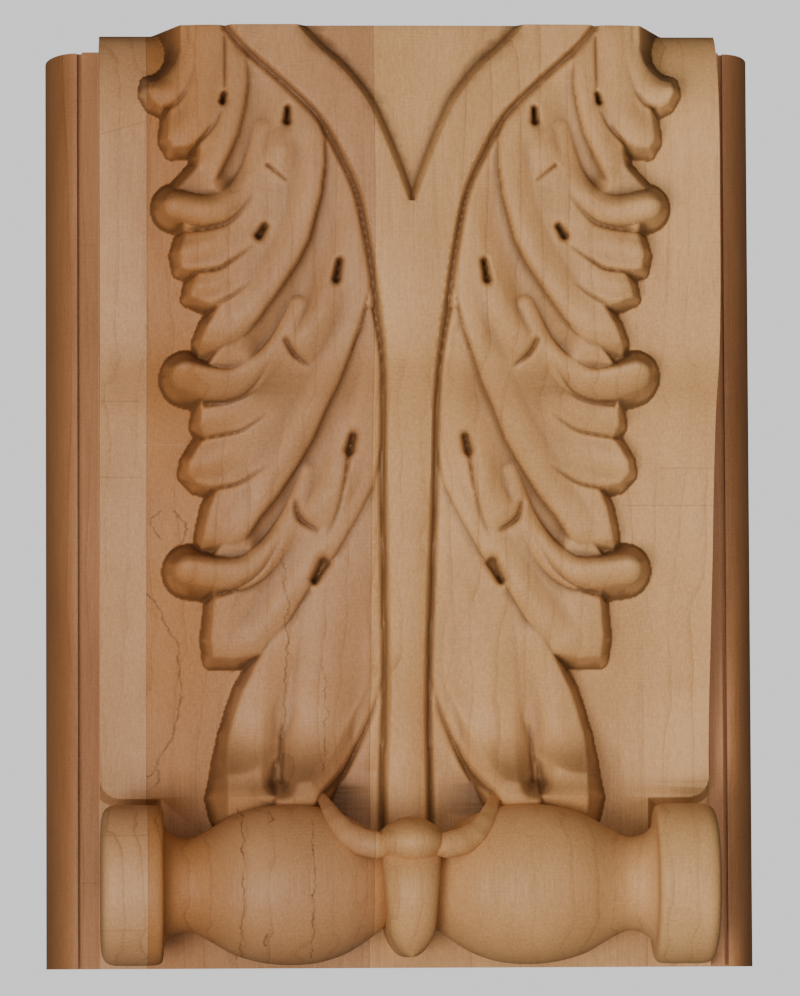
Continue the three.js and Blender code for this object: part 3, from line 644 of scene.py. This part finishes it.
def make_roll():
    """The bolster roll, turned on one axis: discs, necks and bulbs."""
    outline, _ = trace_path(ROLL_OUTLINE)
    lengths = np.append(0, np.cumsum(np.hypot(*np.diff(outline, axis=0).T)))
    columns = round(2 * lengths[-1] / ROLL_STEP)
    rows = round(2 * math.pi * ROLL_RADIUS / ROLL_STEP)
    obj = add_grid("roll", columns, rows)
    flat = coordinates(obj)
    at = np.abs(flat[:, 0]) * 2 * lengths[-1]
    x = np.interp(at, lengths, outline[:, 0]) * np.sign(flat[:, 0])
    radius = np.minimum(np.interp(at, lengths, outline[:, 1]), ROLL_RADIUS)
    turn = flat[:, 1] * 2 * math.pi
    depth = ROLL_AXIS + radius * np.cos(turn)
    up = ROLL_HEIGHT + radius * np.sin(turn)
    set_coordinates(obj, np.stack([x, -BLOCK_DEPTH - depth, up], axis=1))
    close_ends(obj)
    return obj


def close_ends(obj):
    """Joins the seam of a sheet that was wrapped round and fills the open ends."""
    select_only(obj)
    bpy.ops.object.mode_set(mode="EDIT")
    bpy.ops.mesh.select_all(action="SELECT")
    bpy.ops.mesh.remove_doubles(threshold=0.01 * MM)
    bpy.ops.mesh.select_all(action="DESELECT")
    bpy.ops.mesh.select_non_manifold()
    bpy.ops.mesh.fill_holes(sides=0)
    bpy.ops.mesh.select_all(action="SELECT")
    bpy.ops.mesh.normals_make_consistent(inside=False)
    bpy.ops.object.mode_set(mode="OBJECT")


def make_collar(side):
    """One arm of the collar: a round band swept from the bud up to the petal."""
    rows = np.array(COLLAR, float) * MM
    shares = np.linspace(0, 1, len(rows))
    obj = add_grid("collar", *COLLAR_GRID)
    flat = coordinates(obj)
    share, turn = flat[:, 0] + 0.5, flat[:, 1] * 2 * math.pi
    across, up, depth, half = (np.interp(share, shares, column) for column in rows.T)
    ahead_x, ahead_up = (np.interp(share + 0.05, shares, rows[:, i]) for i in (0, 1))
    back_x, back_up = (np.interp(share - 0.05, shares, rows[:, i]) for i in (0, 1))
    run_x, run_up = ahead_x - back_x, ahead_up - back_up
    length = np.hypot(run_x, run_up)
    across = across - run_up / length * half * np.cos(turn)
    up = up + run_x / length * half * np.cos(turn)
    depth = depth + half * np.sin(turn)
    set_coordinates(obj, np.stack([across * side, -BLOCK_DEPTH - depth, up], axis=1))
    close_ends(obj)
    return obj


def make_tongue():
    """The tongue hangs over the roll and follows it round."""
    obj = add_grid("tongue", *TONGUE_GRID)
    flat = coordinates(obj)
    across = flat[:, 0] * 2
    length = TONGUE_TOP - TONGUE_BOTTOM
    rise = TONGUE_TIP + (flat[:, 1] + 0.5) ** TONGUE_CROWDING * (length - TONGUE_TIP)
    up = TONGUE_BOTTOM + rise
    taper = TONGUE_TAPER + (1 - TONGUE_TAPER) * rise / length
    to_end = np.clip(1 - rise / (TONGUE_HALF_WIDTH * TONGUE_END_SHARE), 0, 1)
    half = TONGUE_HALF_WIDTH * taper * np.sqrt(1 - to_end**2)
    tuck = np.clip(1 - (TONGUE_TOP - up) / TONGUE_TUCK_LENGTH, 0, 1)
    reach = ROLL_RADIUS + TONGUE_RISE - TONGUE_TUCK * tuck**2
    front = ROLL_AXIS + np.sqrt(reach**2 - (up - ROLL_HEIGHT) ** 2)
    depth = front - TONGUE_ROUND * (1 - np.sqrt(1 - np.minimum(across**2, 1)))
    set_coordinates(obj, np.stack([across * half, -BLOCK_DEPTH - depth, up], axis=1))
    close_to_plane(obj, 1, -BLOCK_DEPTH - ROLL_AXIS + ROLL_RADIUS - ROOTED)
    return obj


def make_bud():
    bpy.ops.object.select_all(action="DESELECT")
    bpy.ops.mesh.primitive_uv_sphere_add(segments=BUD_GRID[0], ring_count=BUD_GRID[1], radius=1)
    obj = bpy.context.object
    obj.name = "bud"
    centre = np.array([0, -BLOCK_DEPTH - BUD_PROJECTION + BUD_THICKNESS, BUD_HEIGHT])
    size = np.array([BUD_HALF_WIDTH, BUD_THICKNESS, BUD_HALF_HEIGHT])
    unit = coordinates(obj)
    unit[:, 2] *= 1 - BUD_POINT * unit[:, 0] ** 2
    set_coordinates(obj, unit * size + centre)
    return obj


def make_box(name, half_width, depth_from, depth_to, low, high):
    bpy.ops.object.select_all(action="DESELECT")
    bpy.ops.mesh.primitive_cube_add(size=1)
    obj = bpy.context.object
    obj.name = name
    size = np.array([2 * half_width, depth_to - depth_from, high - low])
    centre = np.array([0, -BLOCK_DEPTH - (depth_from + depth_to) / 2, (low + high) / 2])
    set_coordinates(obj, coordinates(obj) * size + centre)
    return obj


def block_outline():
    """The block in plan, from the wall round to the fillet, for the right half."""
    half = WIDTH / 2
    quirk_start = HALF_PANEL + FILLET_WIDTH
    ovolo_start = quirk_start + QUIRK_WIDTH
    ovolo_top = BLOCK_DEPTH - OVOLO_SET_BACK
    points = [(half, 0)]
    for turn in np.linspace(0, math.pi / 2, OVOLO_POINTS):
        across = ovolo_start + (half - ovolo_start) * math.cos(turn)
        points.append((across, SIDE_DEPTH + (ovolo_top - SIDE_DEPTH) * math.sin(turn)))
    floor = ovolo_top - QUIRK_DEPTH
    points += [(ovolo_start, floor), (quirk_start, floor), (quirk_start, BLOCK_DEPTH)]
    return points


def make_block():
    right = block_outline()
    outline = right + [(-x, depth) for x, depth in reversed(right)]
    bpy.ops.object.select_all(action="DESELECT")
    bpy.ops.mesh.primitive_circle_add(vertices=len(outline), fill_type="NGON")
    obj = bpy.context.object
    obj.name = "block"
    set_coordinates(obj, [(x, -depth, 0) for x, depth in outline])
    bpy.ops.object.mode_set(mode="EDIT")
    bpy.ops.mesh.select_all(action="SELECT")
    bpy.ops.mesh.extrude_region_move(TRANSFORM_OT_translate={"value": (0, 0, HEIGHT)})
    bpy.ops.mesh.select_all(action="SELECT")
    bpy.ops.mesh.normals_make_consistent(inside=False)
    bpy.ops.object.mode_set(mode="OBJECT")
    return obj


def apply_modifier(obj, modifier):
    select_only(obj)
    bpy.ops.object.modifier_apply(modifier=modifier.name)


def join_solid(body, other):
    union = body.modifiers.new("union", "BOOLEAN")
    union.operation = "UNION"
    union.solver = "MANIFOLD"
    union.object = other
    apply_modifier(body, union)
    bpy.data.objects.remove(other, do_unlink=True)


def count_triangles(obj):
    return sum(len(face.vertices) - 2 for face in obj.data.polygons)


def make_corbel():
    """One carved body: the block, the console and the roll joined, then thinned where it is flat."""
    body = make_block()
    body.name = "carved_corbel"
    body.data.name = "carved_corbel"
    core = make_box("core", HALF_PANEL - DISC_THICKNESS / 2, -ROOTED, ROLL_AXIS,
                    ROLL_HEIGHT - NECK_RADIUS / 2, ROLL_HEIGHT + NECK_RADIUS / 2)
    plate = make_box("plate", HALF_PANEL, -ROOTED, PLATE_PROJECTION, 0, PLATE_HEIGHT)
    for other in [core, plate, make_bud(), make_tongue(), make_collar(1), make_collar(-1), make_roll()]:
        join_solid(body, other)
    console, relief, plain = make_console()
    join_solid(body, console)
    thin = body.modifiers.new("thin", "DECIMATE")
    thin.ratio = min(MOST_TRIANGLES / count_triangles(body), 1)
    apply_modifier(body, thin)
    smooth(body)
    finish_surface(body, relief, plain)
    points = coordinates(body)
    points[:, 2] -= HEIGHT / 2
    set_coordinates(body, points)
    return body


def smooth(obj):
    select_only(obj)
    bpy.ops.object.shade_smooth_by_angle(angle=SMOOTH_ANGLE)


def surface_normals(relief, x, up):
    step_up = (HEIGHT - CONSOLE_LOW) / (relief.shape[0] - 1)
    step_x = PANEL_WIDTH / (relief.shape[1] - 1)
    rise_up, rise_x = np.gradient(relief, step_up, step_x)
    normals = np.stack([-read_relief(rise_x, x, up), -np.ones(len(x)), -read_relief(rise_up, x, up)], axis=1)
    return normals / np.linalg.norm(normals, axis=1)[:, None]


def finish_surface(body, relief, plain):
    """Shades the carved front by the relief it was thinned from, and stores masks of its creases, hollows
    and up-facing ledges for painted shade, partly grime, in the colour.
    """
    mesh = body.data
    points = coordinates(body)
    x, up = points[:, 0], points[:, 2]
    depth = -points[:, 1] - BLOCK_DEPTH
    off = np.abs(depth - read_relief(relief, x, up))
    carved = (off < SURFACE_REACH) & (up > CONSOLE_LOW) & (np.abs(x) < HALF_PANEL - FINE_STEP)
    on_panel = read_relief(relief - plain, x, up) < ON_PANEL
    # Masks for painted shade: creases and hollows, which are partly grime too, and up-facing ledges, which
    # are shade only
    for name, (reach, deepest, _) in PAINTED_SHADE_AND_GRIME.items():
        inside = (blur(relief, reach) - relief) / deepest
        if name == "ledge_shade":
            inside = (-np.gradient(blur(relief, reach), FINE_STEP, axis=0) - LEDGE_START) / deepest
        inside = np.clip(inside, 0, 1) * (relief - plain > 2 * ON_PANEL)
        mask = mesh.attributes.new(name, "FLOAT", "POINT")
        mask.data.foreach_set("value", (read_relief(inside, x, up) * carved).astype(np.float32))
    normals = np.where(on_panel[:, None], surface_normals(plain, x, up), surface_normals(relief, x, up))
    corners = np.empty(len(mesh.loops), np.int32)
    mesh.loops.foreach_get("vertex_index", corners)
    own = np.empty(len(mesh.loops) * 3)
    mesh.corner_normals.foreach_get("vector", own)
    own = own.reshape(-1, 3)
    shading = normals[corners]
    alike = carved[corners] & ((own * shading).sum(axis=1) > SHADING_LIKENESS)
    shading[~alike] = 0
    mesh.normals_split_custom_set(shading.tolist())


def feed(tree, socket, value):
    """Gives an input a value, or links another node's output to it."""
    if isinstance(value, bpy.types.NodeSocket):
        tree.links.new(value, socket)
    else:
        socket.default_value = value


def add_node(tree, kind, inputs=None, **settings):
    node = tree.nodes.new(kind)
    for name, value in settings.items():
        setattr(node, name, value)
    for name, value in (inputs or {}).items():
        feed(tree, node.inputs[name], value)
    return node


def work_out(tree, operation, *values):
    inputs = dict(enumerate(values))
    return add_node(tree, "ShaderNodeMath", inputs, operation=operation).outputs[0]


def stretch(tree, vector, scale):
    return add_node(tree, "ShaderNodeVectorMath", {0: vector, 1: scale}, operation="MULTIPLY").outputs[0]


def uneven(tree, vector, scale, detail=2.0, roughness=0.5):
    """Noise around zero, stretched along each axis."""
    noise = add_node(tree, "ShaderNodeTexNoise", {
        "Vector": stretch(tree, vector, scale), "Scale": 1.0, "Detail": detail, "Roughness": roughness})
    return work_out(tree, "SUBTRACT", noise.outputs[0], 0.5)


def new_group(name, inputs, outputs):
    """A node group that reads a place and some numbers, and puts out numbers."""
    group = bpy.data.node_groups.new(name, "ShaderNodeTree")
    group.interface.new_socket("Place", in_out="INPUT", socket_type="NodeSocketVector")
    for label in inputs:
        group.interface.new_socket(label, in_out="INPUT", socket_type="NodeSocketFloat")
    for label in outputs:
        group.interface.new_socket(label, in_out="OUTPUT", socket_type="NodeSocketFloat")
    return group, group.nodes.new("NodeGroupInput").outputs, group.nodes.new("NodeGroupOutput").inputs


def use_group(tree, group, inputs):
    node = tree.nodes.new("ShaderNodeGroup")
    node.node_tree = group
    for name, value in inputs.items():
        feed(tree, node.inputs[name], value)
    return node.outputs


def grain_group():
    """Upright grain: growth lines, fibres, fleck, cutter ripples and broad patches."""
    group, given, made = new_group("board grain", [], ["Shade", "Relief"])
    place_mm = given["Place"]
    split = add_node(group, "ShaderNodeSeparateXYZ", {0: place_mm}).outputs
    drift = work_out(group, "MULTIPLY", uneven(group, place_mm, (0.02, 0.02, 0.006)), 16.0)
    across = work_out(group, "MULTIPLY_ADD", split[1], 0.12, split[0])
    across = work_out(group, "ADD", across, drift)
    turn = work_out(group, "MULTIPLY_ADD", across, 1 / GROWTH_SPACING,
                    work_out(group, "MULTIPLY", uneven(group, place_mm, (0.11, 0.11, 0.008)), 1.6))
    late = work_out(group, "POWER", work_out(group, "FRACT", turn), 9.0)
    strength = work_out(group, "MULTIPLY_ADD", uneven(group, place_mm, (0.05, 0.05, 0.02)), 2.2, 0.45)
    late = work_out(group, "MULTIPLY", late, work_out(group, "MAXIMUM", strength, 0.0))
    fibre = uneven(group, place_mm, (1.9, 1.9, 0.07), 4.0, 0.7)
    fleck = uneven(group, place_mm, (1.7, 1.7, 1.1), 3.0, 0.65)
    patch = uneven(group, place_mm, (0.045, 0.045, 0.018), 3.0, 0.55)
    ripple = work_out(group, "SINE", work_out(group, "MULTIPLY_ADD", split[2], 2 * math.pi / RIPPLE_SPACING,
                                              work_out(group, "MULTIPLY", patch, 40.0)))
    ripple = work_out(group, "MULTIPLY", ripple, uneven(group, place_mm, (0.08, 0.08, 0.12), 1.0))
    shade = work_out(group, "MULTIPLY_ADD", late, -0.3, 1.03)
    shade = work_out(group, "MULTIPLY_ADD", fibre, 0.45, shade)
    shade = work_out(group, "MULTIPLY_ADD", fleck, 0.42, shade)
    shade = work_out(group, "MULTIPLY_ADD", patch, 0.6, shade)
    shade = work_out(group, "MULTIPLY_ADD", ripple, 0.12, shade)
    relief = work_out(group, "MULTIPLY_ADD", fibre, 0.05, work_out(group, "MULTIPLY", fleck, 0.07))
    relief = work_out(group, "MULTIPLY_ADD", ripple, 0.03, relief)
    group.links.new(shade, made["Shade"])
    group.links.new(relief, made["Relief"])
    return group


def streak_group():
    """One thin upright mineral streak, bowed sideways between two heights."""
    group, given, made = new_group("mineral streak", STREAK_LABELS, ["Mask"])
    split = add_node(group, "ShaderNodeSeparateXYZ", {0: given["Place"]}).outputs
    span = work_out(group, "SUBTRACT", given["High"], given["Low"])
    share = work_out(group, "DIVIDE", work_out(group, "SUBTRACT", split[2], given["Low"]), span)
    arch = work_out(group, "MULTIPLY", share, work_out(group, "SUBTRACT", 1.0, share))
    arch = work_out(group, "MULTIPLY", arch, 4.0)
    wander = work_out(group, "MULTIPLY", uneven(group, given["Place"], (0.1, 0.1, 0.22), 4.0, 0.7), 5.0)
    middle = work_out(group, "MULTIPLY_ADD", given["Bow"], arch, given["Middle"])
    middle = work_out(group, "ADD", middle, wander)
    off = work_out(group, "ABSOLUTE", work_out(group, "SUBTRACT", split[0], middle))
    line = work_out(group, "SUBTRACT", 1.0, work_out(group, "DIVIDE", off, given["Width"]))
    line = work_out(group, "MAXIMUM", line, 0.0)
    ends = work_out(group, "MULTIPLY", work_out(group, "GREATER_THAN", share, 0.0),
                    work_out(group, "LESS_THAN", share, 1.0))
    broken = uneven(group, given["Place"], (0.2, 0.2, 0.35), 3.0, 0.6)
    broken = work_out(group, "MULTIPLY_ADD", broken, 2.5, 0.75)
    mask = work_out(group, "MULTIPLY", work_out(group, "MULTIPLY", line, ends),
                    add_node(group, "ShaderNodeClamp", {0: broken}).outputs[0])
    group.links.new(mask, made["Mask"])
    return group


def scratch_group():
    """One thin level or slanted line across the grain."""
    group, given, made = new_group("level line", SCRATCH_LABELS, ["Mask"])
    split = add_node(group, "ShaderNodeSeparateXYZ", {0: given["Place"]}).outputs
    along_line = work_out(group, "SUBTRACT", split[0], given["Left"])
    height = work_out(group, "MULTIPLY_ADD", along_line, given["Slope"], given["Height"])
    off = work_out(group, "ABSOLUTE", work_out(group, "SUBTRACT", split[2], height))
    line = work_out(group, "MAXIMUM", work_out(group, "MULTIPLY_ADD", off, -1 / SCRATCH_WIDTH, 1.0), 0.0)
    ends = work_out(group, "MULTIPLY", work_out(group, "GREATER_THAN", split[0], given["Left"]),
                    work_out(group, "LESS_THAN", split[0], given["Right"]))
    group.links.new(work_out(group, "MULTIPLY", line, ends), made["Mask"])
    return group


def mix_colours(tree, share, first, second, blend="MIX"):
    node = add_node(tree, "ShaderNodeMix", {0: share}, data_type="RGBA", blend_type=blend)
    feed(tree, node.inputs[6], first)
    feed(tree, node.inputs[7], second)
    return node.outputs[2]


def darken(tree, colour, mask, strength):
    return mix_colours(tree, work_out(tree, "MULTIPLY", mask, strength), colour, DARK_WOOD_AND_SHADE)


def board_colours(tree, across):
    """The glued boards, each with its own colour, from left to right."""
    colour = mix_colours(tree, 0.0, BOARDS[0][2], BOARDS[0][2])
    for edge, blend, tone in BOARDS[1:]:
        share = work_out(tree, "MULTIPLY_ADD", across, 1 / blend, 0.5 - edge / blend)
        colour = mix_colours(tree, add_node(tree, "ShaderNodeClamp", {0: share}).outputs[0], colour, tone)
    return colour


def strongest(tree, masks):
    total = masks[0]
    for mask in masks[1:]:
        total = work_out(tree, "MAXIMUM", total, mask)
    return total


def glue_masks(tree, across):
    offsets = [work_out(tree, "SUBTRACT", across, edge) for edge in GLUE_LINES]
    return [work_out(tree, "LESS_THAN", work_out(tree, "ABSOLUTE", off), GLUE_WIDTH) for off in offsets]


def mark_masks(tree, group, labels, rows, place):
    """The mask of each mark in a table, all from one node group."""
    return [use_group(tree, group, {"Place": place, **dict(zip(labels, row))})[0] for row in rows]


def make_wood():
    """Pale close-grained hardwood, glued up from upright boards, sanded and left matt."""
    material = bpy.data.materials.new("hardwood")
    material.use_nodes = True
    tree = material.node_tree
    shader = tree.nodes["Principled BSDF"]
    place_m = add_node(tree, "ShaderNodeTexCoord").outputs["Object"]
    place_mm = stretch(tree, place_m, (1000, 1000, 1000))
    across = add_node(tree, "ShaderNodeSeparateXYZ", {0: place_mm}).outputs[0]
    grain = use_group(tree, grain_group(), {"Place": place_mm})
    shade = grain["Shade"]
    green, blue = (work_out(tree, "POWER", shade, power) for power in (1.25, 1.6))
    tones = add_node(tree, "ShaderNodeCombineColor", {0: shade, 1: green, 2: blue}).outputs[0]
    colour = mix_colours(tree, 1.0, board_colours(tree, across), tones, "MULTIPLY")
    streaks = mark_masks(tree, streak_group(), STREAK_LABELS, STREAKS, place_mm)
    scratches = mark_masks(tree, scratch_group(), SCRATCH_LABELS, SCRATCHES, place_mm)
    colour = darken(tree, colour, strongest(tree, glue_masks(tree, across)), GLUE_STRENGTH)
    colour = darken(tree, colour, strongest(tree, streaks), STREAK_STRENGTH)
    colour = darken(tree, colour, strongest(tree, scratches), SCRATCH_STRENGTH)
    # Painted shade: creases, hollows and up-facing ledges darkened in the colour, the creases and hollows
    # partly as grime too
    for name, (_, _, strength) in PAINTED_SHADE_AND_GRIME.items():
        mask = add_node(tree, "ShaderNodeAttribute", attribute_name=name).outputs["Fac"]
        colour = darken(tree, colour, mask, strength)
    tree.links.new(colour, shader.inputs["Base Color"])
    rough = work_out(tree, "MULTIPLY_ADD", work_out(tree, "SUBTRACT", 1.0, shade), 0.3, 0.56)
    tree.links.new(rough, shader.inputs["Roughness"])
    bump = add_node(tree, "ShaderNodeBump", {"Height": grain["Relief"], "Distance": 0.001, "Strength": 0.8})
    tree.links.new(bump.outputs[0], shader.inputs["Normal"])
    shader.inputs["Specular IOR Level"].default_value = 0.35
    return material


def make_camera():
    """Seen from a little left of and below the middle, as the photograph is."""
    place_of = Vector((CAMERA_ACROSS, -BLOCK_DEPTH - CAMERA_DISTANCE, -HEIGHT / 2))
    aim = Vector((CAMERA_AIM[0], -BLOCK_DEPTH, CAMERA_AIM[1]))
    data = bpy.data.cameras.new("camera")
    data.sensor_fit = "VERTICAL"
    data.sensor_height = 36
    data.lens = LENS
    camera = bpy.data.objects.new("camera", data)
    bpy.context.scene.collection.objects.link(camera)
    turn = (aim - place_of).to_track_quat("-Z", "Y").to_matrix().to_4x4()
    camera.matrix_world = Matrix.Translation(place_of) @ turn @ Matrix.Rotation(CAMERA_ROLL, 4, "Z")
    bpy.context.scene.camera = camera
    return camera


def make_light(name, place_of, size, power, colour):
    data = bpy.data.lights.new(name, "AREA")
    data.shape = "DISK"
    data.size = size
    data.energy = power
    data.color = colour
    light = bpy.data.objects.new(name, data)
    bpy.context.scene.collection.objects.link(light)
    aim = Vector((0, -BLOCK_DEPTH, 0)) - Vector(place_of)
    light.matrix_world = Matrix.Translation(place_of) @ aim.to_track_quat("-Z", "Y").to_matrix().to_4x4()
    return light


def make_studio():
    bpy.ops.object.select_all(action="DESELECT")
    bpy.ops.mesh.primitive_plane_add(size=FLOOR_SIZE)
    floor = bpy.context.object
    floor.name = "floor"
    points = coordinates(floor)
    points[:, 2] = -HEIGHT / 2 - FLOOR_DROP
    set_coordinates(floor, points)
    material = bpy.data.materials.new("floor")
    material.use_nodes = True
    material.node_tree.nodes["Principled BSDF"].inputs["Base Color"].default_value = (0.9, 0.9, 0.9, 1)
    floor.data.materials.append(material)
    make_world()
    make_light("key", KEY_PLACE, KEY_SIZE, KEY_POWER, WARM_WHITE)


def make_world():
    """Soft light from the front, stronger from the left and below, and a pale backdrop."""
    world = bpy.data.worlds.new("studio")
    bpy.context.scene.world = world
    world.use_nodes = True
    tree = world.node_tree
    tree.nodes.clear()
    direction = add_node(tree, "ShaderNodeTexCoord").outputs["Generated"]
    split = add_node(tree, "ShaderNodeSeparateXYZ", {0: direction}).outputs
    front = work_out(tree, "MAXIMUM", work_out(tree, "MULTIPLY", split[1], -1.0), 0.0)
    lean = work_out(tree, "MULTIPLY_ADD", split[0], LEAN_RIGHT, 1.0)
    lean = work_out(tree, "MULTIPLY_ADD", split[2], LEAN_UP, lean)
    lean = work_out(tree, "MAXIMUM", lean, LEAST_LEAN)
    strength = work_out(tree, "POWER", front, FRONT_FOCUS)
    strength = work_out(tree, "MULTIPLY_ADD", strength, FRONT_STRENGTH, ROUND_STRENGTH)
    strength = work_out(tree, "MULTIPLY", strength, lean)
    lighting = add_node(tree, "ShaderNodeBackground", {"Color": (*WARM_WHITE, 1), "Strength": strength})
    backdrop = add_node(tree, "ShaderNodeBackground", {"Color": (1, 1, 1, 1), "Strength": 1.0})
    seen = add_node(tree, "ShaderNodeLightPath").outputs["Is Camera Ray"]
    mixed = add_node(tree, "ShaderNodeMixShader", {0: seen, 1: lighting.outputs[0], 2: backdrop.outputs[0]})
    add_node(tree, "ShaderNodeOutputWorld", {"Surface": mixed.outputs[0]})


def main():
    make_camera()
    corbel = make_corbel()
    corbel.data.materials.clear()
    corbel.data.materials.append(make_wood())
    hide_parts(NODE)
    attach(corbel, "root")
    make_studio()


main()
